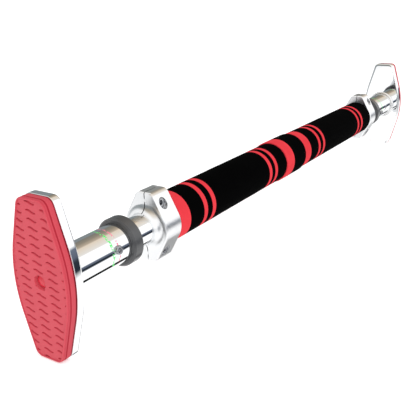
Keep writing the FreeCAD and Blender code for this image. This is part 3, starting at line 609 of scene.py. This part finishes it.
def collar_line(start, end, outer, sleeve):
    """A collar's closed section: bevelled towards the tray, rounded outside, stepped inside."""
    bore = INNER_RADIUS + COLLAR_FIT
    corners = [
        (start, sleeve + COLLAR_FIT), (end - COLLAR_LIP, sleeve + COLLAR_FIT), (end - COLLAR_LIP, bore),
        (end, bore), (end, outer), (start + COLLAR_BEVEL, outer), (start, outer - COLLAR_BEVEL),
    ]
    radii = [0.0003, 0.0001, 0.0001, 0.0005, COLLAR_EDGE, 0.0005, 0.0005]
    return rounded(corners, radii, EDGE_STEPS)[0]


collar_finish = Finish("collar_plastic", {"IOR": 1.5, "Coat Weight": 0.5, "Coat Roughness": 0.16})
collar_grain, collar_cloud = collar_finish.noise(2600.0, 2.0), collar_finish.noise(70.0, 2.0)
collar_tone = collar_cloud + collar_grain * 0.2
collar_plastic = collar_finish.wear(
    Base_Color=collar_finish.blend((0.062, 0.064, 0.068), (0.036, 0.037, 0.040), collar_tone),
    Roughness=0.34 + collar_grain * 0.14, Normal=collar_finish.bump(collar_grain, 3e-5),
)
collar_low, collar_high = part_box("left_collar")
collar_section = collar_line(collar_low.x, collar_high.x, collar_high.z, sleeve_high.z)
collar_surface = skin(turned(collar_section, COLLAR_COLUMNS), True)
piece("left_collar_ring", collar_surface, collar_plastic, "left_end", ["left_collar"])
piece("right_collar_ring", half_turn(collar_surface), collar_plastic, "right_end", ["right_collar"])


# ---- Inner tubes -----------------------------------------------------------------------------------
# The thin chromed tube that slides out of each end of the grip bar. A slot with round ends is milled
# along its back for the clamp's key.

SLOT_HALF_WIDTH, SLOT_COLUMNS, SLOT_MARGIN = 0.0026, 12, 0.004
SLOT_START, SLOT_LENGTH, TUBE_COLUMNS = 0.110, 0.080, 108


def slotted_tube(start, end, slot_start, slot_end, radius):
    """A tube's outer surface with a slot left open at its back.

    The first columns lie across the slot, the others over the rest of the way round. The two rows at the
    slot's ends are drawn out between its sides to half circles: half width minus the root of half width
    squared less the distance from the slot's middle squared. Cells between them are left out.
    """
    half = SLOT_HALF_WIDTH / radius
    turn = np.concatenate([
        np.linspace(-half, half, SLOT_COLUMNS + 1), np.linspace(half, 2 * math.pi - half, TUBE_COLUMNS)[1:-1],
    ])
    off = np.where(turn > math.pi, turn - 2 * math.pi, turn) * radius
    off = np.clip(off, -SLOT_HALF_WIDTH, SLOT_HALF_WIDTH)
    bulge = SLOT_HALF_WIDTH - np.sqrt(SLOT_HALF_WIDTH**2 - off**2)
    place = np.array([
        start + 0 * turn, slot_start - SLOT_MARGIN + 0 * turn, slot_start + bulge,
        slot_end - bulge, slot_end + SLOT_MARGIN + 0 * turn, end + 0 * turn,
    ])
    ring = np.stack([np.cos(turn) * radius, np.sin(turn) * radius], -1)
    grid = np.concatenate([place[..., None], np.broadcast_to(ring, place.shape + (2,))], -1)
    kept = np.ones((len(place) - 1, len(turn)), bool)
    kept[2, :SLOT_COLUMNS] = False
    return skin(grid, kept=kept)


inner_chrome = chrome("inner_chrome", (0.05, 1, 1))
inner_low, inner_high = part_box("left_inner_tube")
slot_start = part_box("left_pad")[0].x + SLOT_START
inner_surface = slotted_tube(inner_low.x, inner_high.x, slot_start, slot_start + SLOT_LENGTH, INNER_RADIUS)
piece("left_inner", inner_surface, inner_chrome, "left_end", ["left_inner_tube"], wall=TUBE_WALL)
piece("right_inner", half_turn(inner_surface), inner_chrome, "right_end", ["right_inner_tube"],
      wall=TUBE_WALL)


# ---- Screws ----------------------------------------------------------------------------------------
# Socket screws of zinc-plated steel: a low button head in the front of each sleeve tube, and a tall
# knurled head at the top and the bottom of each clamp's front jaw.

HEX_FLAT = math.cos(math.pi / 6)
KNURL_TEETH, KNURL_RELIEF, SCREW_COLUMNS = 36, 0.00022, 144
SIDES = ("left", "right")


def socket_screw(head, height, crown, socket, socket_depth, shank, reach, knurl):
    """A socket screw along X, its head outwards from 0 and its shank inwards.

    Each row has a place, a radius, and how far it is six-sided, from 0 to 1: the radius is divided by the
    cosine of the angle from the nearest flat's middle. Where knurl is 1, the head's rows dip between teeth.
    """
    bend = np.linspace(0, math.pi / 2, 6)
    crown_rows = [
        (height - crown + crown * math.sin(a), head - crown * 0.8 * (1 - math.cos(a)), 0, 0) for a in bend
    ]
    rows = [
        (-reach, 0, 0, 0), (-reach, shank * 0.8, 0, 0), (-reach + shank * 0.2, shank, 0, 0), (0, shank, 0, 0),
        (0, head - 0.0002, 0, 0), (0.0002, head, 0, 0), (0.0005, head, 0, knurl),
        (height - crown - 0.0004, head, 0, knurl), *crown_rows,
        (height, socket * 1.12, 0, 0), (height - 0.0003, socket, 1, 0), (height - socket_depth, socket, 1, 0),
        (height - socket_depth - socket * 0.3, 0, 0, 0),
    ]
    place, radius, sided, toothed = (np.array(column)[:, None] for column in zip(*rows))
    turn = np.linspace(0, 2 * math.pi, SCREW_COLUMNS, endpoint=False)[None]
    flat = HEX_FLAT / np.cos(np.mod(turn, math.pi / 3) - math.pi / 6)
    tooth = np.abs(np.sin(turn * KNURL_TEETH / 2))
    radius = radius * (1 - sided + sided * flat) - toothed * KNURL_RELIEF * tooth
    return np.stack([place + 0 * turn, radius * np.cos(turn), radius * np.sin(turn)], -1)


def on_axis(grid, seat, tilt=0.0):
    """A piece made along X set with its foot at a seat, pointing forwards and up by a tilt."""
    out = np.array([0, -math.cos(tilt), math.sin(tilt)])
    across = np.array([1.0, 0, 0])
    up = np.cross(out, across)
    return np.array(seat) + grid[..., :1] * out + grid[..., 1:2] * across + grid[..., 2:] * up


screw_finish = Finish("screw_steel", {"Metallic": 1.0})
screw_stain, screw_grain = screw_finish.noise(500.0, 3.0), screw_finish.noise(3000.0, 2.0)
screw_steel = screw_finish.wear(
    Base_Color=screw_finish.blend((0.50, 0.51, 0.53), (0.24, 0.25, 0.27), screw_stain),
    Roughness=0.08 + screw_grain * 0.12, Normal=screw_finish.bump(screw_grain, 1e-5),
)
BUTTON_PLACE, BUTTON_TILT, BUTTON_SEAT = 0.075, math.radians(12), 0.0188
button_seat = (
    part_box("left_pad")[0].x + BUTTON_PLACE,
    -math.cos(BUTTON_TILT) * BUTTON_SEAT, math.sin(BUTTON_TILT) * BUTTON_SEAT,
)
button_grid = socket_screw(
    head=0.0042, height=0.0030, crown=0.0016, socket=0.0021, socket_depth=0.0017, shank=0.0029,
    reach=0.0060, knurl=0,
)
button_surface = skin(on_axis(button_grid, button_seat, BUTTON_TILT))
piece("left_sleeve_button_screw", button_surface, screw_steel, "left_end", ["left_sleeve_screw"])
piece("right_sleeve_button_screw", half_turn(button_surface), screw_steel, "right_end",
      ["right_sleeve_screw"])

CAP_HEIGHT, CAP_REACH = 0.0060, 0.0208
cap_grid = socket_screw(
    head=0.0050, height=CAP_HEIGHT, crown=0.0005, socket=0.0029, socket_depth=0.0030, shank=0.0029,
    reach=CAP_REACH, knurl=1,
)
for side in SIDES:
    for level in ("upper", "lower"):
        node = f"{side}_{level}_clamp_screw"
        screw_low, screw_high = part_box(node)
        seat = ((screw_low.x + screw_high.x) / 2, screw_low.y + CAP_HEIGHT, (screw_low.z + screw_high.z) / 2)
        piece(f"{side}_{level}_cap_screw", skin(on_axis(cap_grid, seat)), screw_steel,
              f"{side}_{level}_screw", [node])


# ---- Clamp jaws ------------------------------------------------------------------------------------
# The two halves of each clamp, die-cast and chromed. The casting's edges are broken by a small radius,
# which catches the light along every side.

JAW_EDGE = 0.0003


def jaw(name, node, finish, body):
    """A jaw: the frame's own shape with its triangles joined and its edges rounded."""
    made = bpy.data.objects.new(name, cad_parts[node].data.copy())
    made.data.name = name
    bpy.context.scene.collection.objects.link(made)
    shape = bmesh.new()
    shape.from_mesh(made.data)
    bmesh.ops.remove_doubles(shape, verts=shape.verts, dist=1e-6)
    bmesh.ops.dissolve_limit(shape, angle_limit=math.radians(0.6), verts=shape.verts, edges=shape.edges)
    shape.to_mesh(made.data)
    shape.free()
    edge = made.modifiers.new("edge", "BEVEL")
    edge.width, edge.segments, edge.limit_method, edge.angle_limit = JAW_EDGE, 2, "ANGLE", SMOOTH_ANGLE
    return settle(made, finish, body, [node])


jaw_chrome = chrome("jaw_chrome", satin=0.26)
for side in SIDES:
    jaw(side + "_front_jaw_casting", side + "_front_jaw", jaw_chrome, side + "_clamp_front")
    jaw(side + "_rear_jaw_casting", side + "_rear_jaw", jaw_chrome, side + "_clamp")


# ---- Spindles --------------------------------------------------------------------------------------
# The rolled screw spindle in each end: a right-hand thread in the left one and a left-hand thread in the
# right one, with 5 mm of travel to a turn, so that turning the bar moves both ends out together.

THREAD_PITCH, THREAD_DEPTH, THREAD_ROWS, THREAD_COLUMNS = 0.005, 0.0011, 14, 40
PLUG_SEAT = 0.020
BEVEL_LENGTH, BEVEL_DEPTH = 0.0016, 0.0015


def spindle(start, end, radius, plain, hand):
    """A threaded rod: its radius falls and rises with the share of a pitch at each place and turn.

    The thread is a triangle wave cut flat at its top and bottom, right-handed where hand is -1. It fades
    out towards the plain stretch, and the far end is bevelled.
    """
    turn = np.linspace(0, 2 * math.pi, THREAD_COLUMNS, endpoint=False)[None]
    place = np.linspace(start, end, int(abs(end - start) / THREAD_PITCH * THREAD_ROWS))[:, None]
    wave = np.abs(np.mod(place / THREAD_PITCH + hand * turn / (2 * math.pi), 1) * 2 - 1)
    tooth = np.clip(wave * 2.4 - 0.7, 0, 1)
    from_start = np.abs(place - start)
    cut = THREAD_DEPTH * np.clip((from_start - plain) / THREAD_PITCH, 0, 1)
    taper = np.clip(1 - np.abs(end - place) / BEVEL_LENGTH, 0, 1) * BEVEL_DEPTH
    depth = np.maximum(cut * tooth, taper)
    rod = np.stack([place + 0 * turn, (radius - depth) * np.cos(turn), (radius - depth) * np.sin(turn)], -1)
    tips = [np.broadcast_to([tip, 0, 0], (1,) + rod.shape[1:]) for tip in (start, end)]
    return skin(np.concatenate([tips[0], rod, tips[1]]))


def turned_steel(name, bright, dull, grain):
    """Machined metal: its tone changes slowly, and turning marks run round it."""
    finish = Finish(name, {"Metallic": 1.0})
    cloud, marks = finish.noise(90.0, 3.0), finish.noise(1500.0, 2.0, grain)
    return finish.wear(
        Base_Color=finish.blend(bright, dull, cloud), Roughness=0.2 + marks * 0.18,
        Normal=finish.bump(marks, 1e-5),
    )


plain_steel = turned_steel("plain_steel", (0.62, 0.62, 0.63), (0.44, 0.44, 0.45), (1, 0.05, 0.05))
for side, hand in (("left", -1), ("right", 1)):
    rod_low, rod_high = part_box(side + "_spindle")
    near, far = (rod_low.x, rod_high.x) if side == "left" else (rod_high.x, rod_low.x)
    piece(side + "_screw_spindle", spindle(near, far, rod_high.z, PLUG_SEAT, hand), plain_steel,
          side + "_end", [side + "_spindle"])


# ---- Fittings inside -------------------------------------------------------------------------------
# What the tubes hide: moulded acetal bushes, steel plugs, keys, nuts and pins, the brass screw nuts, and
# the grip bar's own chromed tube. They keep the frame's shapes.

bush_finish = Finish("bush_acetal", {"IOR": 1.48, "Subsurface Weight": 0.05})
bush_grain = bush_finish.noise(1400.0, 2.0)
bush_acetal = bush_finish.wear(
    Base_Color=bush_finish.blend((0.82, 0.81, 0.77), (0.72, 0.71, 0.66), bush_finish.noise(120.0) * 0.8),
    Roughness=0.35 + bush_grain * 0.15, Normal=bush_finish.bump(bush_grain, 2e-5),
)
brass = turned_steel("turned_brass", (0.78, 0.60, 0.28), (0.60, 0.43, 0.18), (1, 0.05, 0.05))
INSIDE = {
    "spacer_bush": bush_acetal, "guide_bush": bush_acetal, "spindle_plug": plain_steel, "key": plain_steel,
    "nut_pins": plain_steel, "clamp_nuts": screw_steel, "drive_nut": brass,
}
for side in SIDES:
    for name, finish in INSIDE.items():
        coat(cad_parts[side + "_" + name].data, finish)
coat(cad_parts["main_tube"].data, inner_chrome)


# ---- Foam grips ------------------------------------------------------------------------------------
# Closed-cell foam sleeves drawn over the grip bar: black ones with narrow red rings let into them, wide
# red rings at the left end and either side of the middle, and a raised black band between those.

FOAM_EDGE, SEAM_EDGE, STRIPE_DEPTH, FOAM_STEP, FOAM_UNEVEN = 0.0009, 0.0004, 0.0012, 0.004, 0.00009
FOAM_COLUMNS, FOAM_FILL = 120, 0.95
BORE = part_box("main_tube")[1].z + 0.00005


def divided(line, step):
    """A closed line with points added evenly along its long stretches."""
    following = np.roll(line, -1, 0)
    parts = []
    for one, other in zip(line, following):
        count = max(1, int(np.linalg.norm(other - one) / step))
        parts.append(one + (other - one) * np.linspace(0, 1, count, endpoint=False)[:, None])
    return np.vstack(parts)


def foam_sleeve(line):
    """A foam piece's section turned round the bar, with the slight unevenness of foam.

    The radius wanders by the sum of three slow waves of place and turn, but not at the bore.
    """
    grid = turned(divided(line, FOAM_STEP), FOAM_COLUMNS)
    turn = np.linspace(0, 2 * math.pi, FOAM_COLUMNS, endpoint=False)[None]
    place = grid[..., 0] * 100
    wander = np.sin(2 * turn + 1.3 * place) + np.sin(3 * turn - 0.7 * place + 1) + np.sin(turn + 2.1 * place)
    radius = np.hypot(grid[..., 1], grid[..., 2])
    scale = 1 + FOAM_UNEVEN / 3 * (wander - 3) * (radius > BORE + 0.001) / radius
    grid[..., 1:] *= scale[..., None]
    return skin(grid, True)


def foam(name, light, dark, shine):
    """Closed-cell foam: tiny cells in the surface, slow changes of tone, hardly any shine."""
    finish = Finish(name, {"IOR": 1.4, "Specular IOR Level": shine})
    cells = finish.node("ShaderNodeTexVoronoi", {}, {"Vector": finish.place, "Scale": 1500.0}, "Distance")
    cloud, grain = finish.noise(38.0, 3.0), finish.noise(2400.0, 2.0)
    tone = finish.blend(light, dark, cloud.rising(0.3, 0.75) * 0.6 + grain * 0.4)
    height = cells * 0.8 + grain * 0.4
    return finish.wear(Base_Color=tone, Roughness=0.78 + cells * 0.2, Normal=finish.bump(height, 1.2e-4, 0.8))


foam_black = foam("foam_black", (0.0008, 0.0008, 0.0009), (0.0004, 0.0004, 0.0005), 0.02)
foam_red = foam("foam_red", (0.74, 0.046, 0.060), (0.64, 0.032, 0.044), 0.12)


def stripe_places(node):
    """The start and end of each of a stripe node's two rings: its lowest and its highest two places."""
    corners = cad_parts[node].data.vertices
    places = np.empty(len(corners) * 3, np.float32)
    corners.foreach_get("co", places)
    ends = np.unique(places[::3].astype(float).round(6))
    return [(ends[0], ends[1]), (ends[-2], ends[-1])]


def grip_line(start, end, outer, stripes):
    """A grip's closed section, with a shallow groove for every ring let into it."""
    corners, radii = [(end, BORE), (end, outer)], [0.0002, FOAM_EDGE]
    for stripe_start, stripe_end in sorted(stripes, reverse=True):
        floor = outer - STRIPE_DEPTH
        corners += [(stripe_end, outer), (stripe_end, floor), (stripe_start, floor), (stripe_start, outer)]
        radii += [SEAM_EDGE, 0.0001, 0.0001, SEAM_EDGE]
    corners += [(start, outer), (start, BORE)]
    return rounded(corners, radii + [FOAM_EDGE, 0.0002], EDGE_STEPS)[0]


for side in SIDES:
    node = side + "_grip"
    low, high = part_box(node)
    groups = [side + "_outer_stripes", side + "_inner_stripes"]
    stripes = [place for group in groups for place in stripe_places(group)]
    line = grip_line(low.x, high.x, high.z, stripes)
    piece(side + "_foam_grip", foam_sleeve(line), foam_black, "bar", [node])
    for group in groups:
        for place, (start, end) in zip(("near", "far"), stripe_places(group)):
            radii = [0.0001, 0.0001, SEAM_EDGE, SEAM_EDGE]
            line = ring_line(start, end, high.z - STRIPE_DEPTH, high.z, radii)
            piece(f"{group}_{place}", foam_sleeve(line), foam_red, "bar", [group])

for node, finish, slot in (
    ("left_end_ring", foam_red, "foam_red"), ("left_centre_ring", foam_red, "foam_red"),
    ("right_centre_ring", foam_red, "foam_red"), ("centre_band", foam_black, "foam_black"),
):
    low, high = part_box(node)
    line = ring_line(low.x, high.x, BORE, high.z, [0.0002, 0.0002, FOAM_EDGE, FOAM_EDGE])
    piece(node + "_foam", foam_sleeve(line), finish, "bar", [node])


# ---- Studio ----------------------------------------------------------------------------------------
# A white room: a pale floor under the end plates, one broad soft lamp above and to the front, and long
# strips of light, beige and dark board hung level with the bar, which the chrome reflects as streaks.

WHITE_BOARD = (1.2, 1.2, 1.2)
BOARDS = (
    (-180, (0.23, 0.26, 0.27)), (-163, (0.25, 0.28, 0.29)), (-156, WHITE_BOARD), (-101, WHITE_BOARD),
    (-96, (0.01, 0.01, 0.01)), (-79, (0.005, 0.005, 0.005)), (-76, WHITE_BOARD), (-27, WHITE_BOARD),
    (-21, (0.02, 0.027, 0.04)), (-12, (0.03, 0.04, 0.055)), (-9, (0.12, 0.14, 0.19)),
    (-1, (0.16, 0.19, 0.25)), (1, WHITE_BOARD), (49, WHITE_BOARD), (56, (0.86, 0.82, 0.76)),
    (92, (0.82, 0.7, 0.56)), (100, (0.5, 0.41, 0.31)), (120, (0.3, 0.26, 0.2)), (145, (0.22, 0.21, 0.18)),
    (152, (0.24, 0.27, 0.28)), (180, (0.23, 0.26, 0.27)),
)
FLOOR_REACH, FLOOR_GAP = 12.0, 0.0002


def studio_world():
    """Surroundings: white behind everything, boards for what the chrome mirrors, a soft dome for the rest.

    A board's place is the angle round the bar's axis, from level at the front, up, over and down behind.
    The boards fade to white in directions square to the bar, which keeps hollow curves bright.
    """
    world = bpy.data.worlds.new("studio")
    bpy.context.scene.world = world
    world.use_nodes = True
    nodes = Nodes(world.node_tree)
    nodes.tree.nodes.remove(nodes.tree.nodes["Background"])
    direction = nodes.node("ShaderNodeTexCoord", {}, {}, "Generated")
    x, y, z = nodes.axes(direction)
    angle = z.maths("ARCTAN2", z, -y) / (2 * math.pi) + 0.5
    stops = [((place + 180) / 360, colour) for place, colour in BOARDS]
    boards = nodes.node("ShaderNodeValToRGB", {"stops": stops}, {"Fac": angle})
    square = x.rising(-0.55, -0.35) * (1.0 - x.rising(0.2, 0.42))
    boards = nodes.blend(boards, WHITE_BOARD, square * 0.8)
    dome = nodes.blend((0.62, 0.62, 0.64), (0.98, 0.98, 0.98), z.rising(-0.3, 0.8))
    ray = nodes.node("ShaderNodeLightPath", {}, {}, "Is Camera Ray")
    glossy = Signal(nodes, ray.socket.node.outputs["Is Glossy Ray"])
    lights = [
        nodes.node("ShaderNodeBackground", {}, {"Color": colour, "Strength": 1.0})
        for colour in (dome, boards, (1.0, 1.0, 1.0, 1.0))
    ]
    mirrored = nodes.node("ShaderNodeMixShader", {}, {0: glossy, 1: lights[0], 2: lights[1]})
    seen = nodes.node("ShaderNodeMixShader", {}, {0: ray, 1: mirrored, 2: lights[2]})
    nodes.put(nodes.tree.nodes["World Output"], {"Surface": seen})


studio_world()
floor_mesh = bpy.data.meshes.new("floor")
floor_level = cad_box[0].z - FLOOR_GAP
floor_corners = [
    (x * FLOOR_REACH, y * FLOOR_REACH, floor_level) for x, y in ((-1, -1), (1, -1), (1, 1), (-1, 1))
]
floor_mesh.from_pydata(floor_corners, [], [(0, 1, 2, 3)])
floor = bpy.data.objects.new("floor", floor_mesh)
bpy.context.scene.collection.objects.link(floor)
floor.visible_glossy = False
paint = Finish("floor_paint", {"Roughness": 0.9, "Emission Strength": 0.35, "Emission Color": (1, 1, 1, 1)})
floor_mesh.materials.append(
    paint.wear(Base_Color=paint.blend((0.93, 0.93, 0.93), (0.9, 0.9, 0.9), paint.noise(3.0)))
)

lamp = bpy.data.lights.new("soft_lamp", "AREA")
lamp.shape, lamp.size, lamp.size_y, lamp.energy = "RECTANGLE", 2.4, 1.6, 26.0
lamp_object = bpy.data.objects.new("soft_lamp", lamp)
bpy.context.scene.collection.objects.link(lamp_object)
lamp_object.location = (-1.2, -1.6, 1.9)
lamp_object.rotation_euler = (-Vector(lamp_object.location)).to_track_quat("-Z", "Y").to_euler()
lamp_object.visible_glossy = False

camera = bpy.data.cameras.new("camera")
camera.lens, camera.sensor_width = 54.76, 36.0
camera.clip_start, camera.clip_end = 0.01, 50.0
camera_object = bpy.data.objects.new("camera", camera)
bpy.context.scene.collection.objects.link(camera_object)
camera_object.location = (-0.72765, -0.36640, 0.22400)
camera_object.rotation_euler = [math.radians(angle) for angle in (70.11, 1.78, -57.02)]
bpy.context.scene.camera = camera_object
bpy.context.scene.view_settings.view_transform = "Standard"
